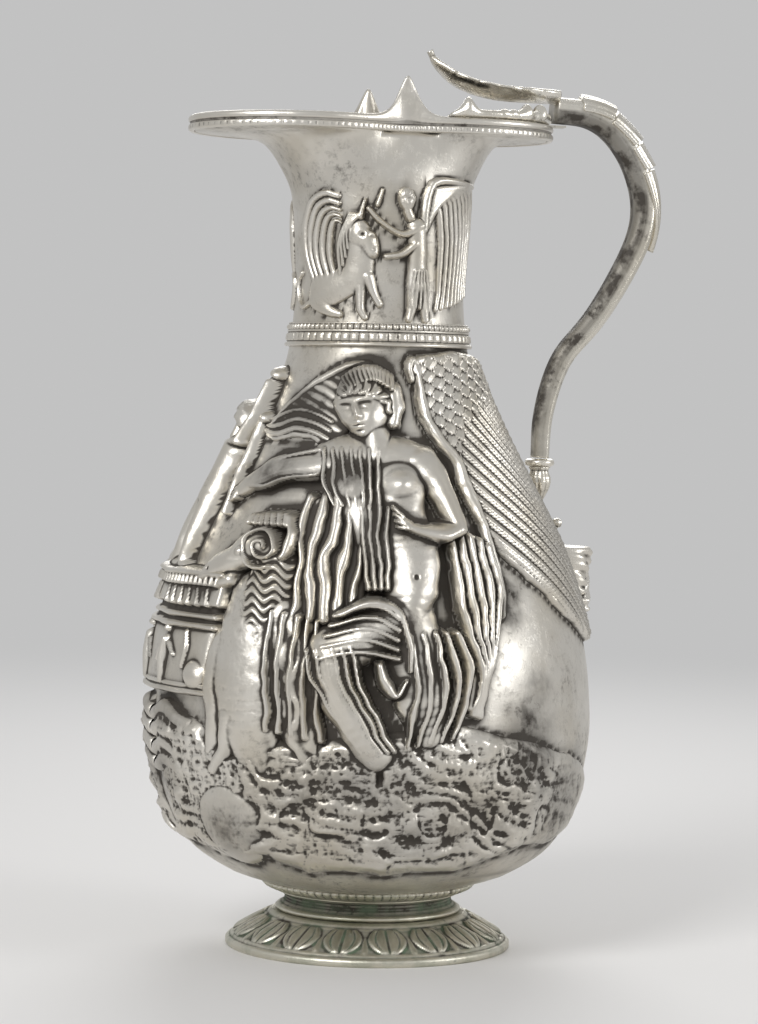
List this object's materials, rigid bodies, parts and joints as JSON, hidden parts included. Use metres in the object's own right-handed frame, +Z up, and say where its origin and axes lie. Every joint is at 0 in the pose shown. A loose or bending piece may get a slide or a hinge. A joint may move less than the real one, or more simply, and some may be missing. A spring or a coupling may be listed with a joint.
{
  "type": "oinochoe",
  "caption": "Antique silver wine jug with a pinched trefoil-like mouth, swelling body with figures in relief, spreading foot and a high curved handle with a thumb leaf and a mask.",
  "frame": {"origin": "centre of the bounding box at the plane that the foot stands on", "axes": "+Z up along the jug's axis, +X towards the handle, -X towards the spout"},
  "size_m": [0.1474, 0.1276, 0.2505],
  "materials": {
    "silver": "worn polished silver with dark tarnish",
    "relief_silver": "chased silver relief, bright high points and dark recesses",
    "handle_silver": "cast silver, tarnished in the grooves",
    "foot_silver": "chased silver with brown and green patina"
  },
  "bodies": {
    "root": {"body_shell": "silver", "mouth_rim": "silver", "neck_band": "silver", "foot_ring": "foot_silver", "foot_waist": "foot_silver", "leaf_cup": "foot_silver", "handle_stem": "handle_silver", "sheath_upper": "handle_silver", "sheath_middle": "handle_silver", "sheath_lower": "handle_silver", "stem_leaf": "handle_silver", "thumb_leaf": "handle_silver", "rim_arm_front": "handle_silver", "rim_arm_back": "handle_silver", "handle_saddle": "handle_silver", "stem_ring": "handle_silver", "stem_calyx": "handle_silver", "attachment_plate": "handle_silver", "attachment_bud": "handle_silver", "handle_mask": "handle_silver", "victory_figure_front": "relief_silver", "victory_figure_back": "relief_silver", "hanging_mantle_front": "relief_silver", "hanging_mantle_back": "relief_silver", "far_wing_front": "relief_silver", "far_wing_back": "relief_silver", "near_wing_front": "relief_silver", "near_wing_back": "relief_silver", "beast_head_front": "relief_silver", "beast_head_back": "relief_silver", "beast_body_front": "relief_silver", "beast_body_back": "relief_silver", "ground_rocks_front": "relief_silver", "ground_rocks_back": "relief_silver", "staff_front": "relief_silver", "staff_back": "relief_silver", "griffin_front": "relief_silver", "griffin_back": "relief_silver", "winged_youth_front": "relief_silver", "winged_youth_back": "relief_silver", "altar": "relief_silver", "altar_cornice": "relief_silver", "statuette": "relief_silver"}
  },
  "joints": []
}
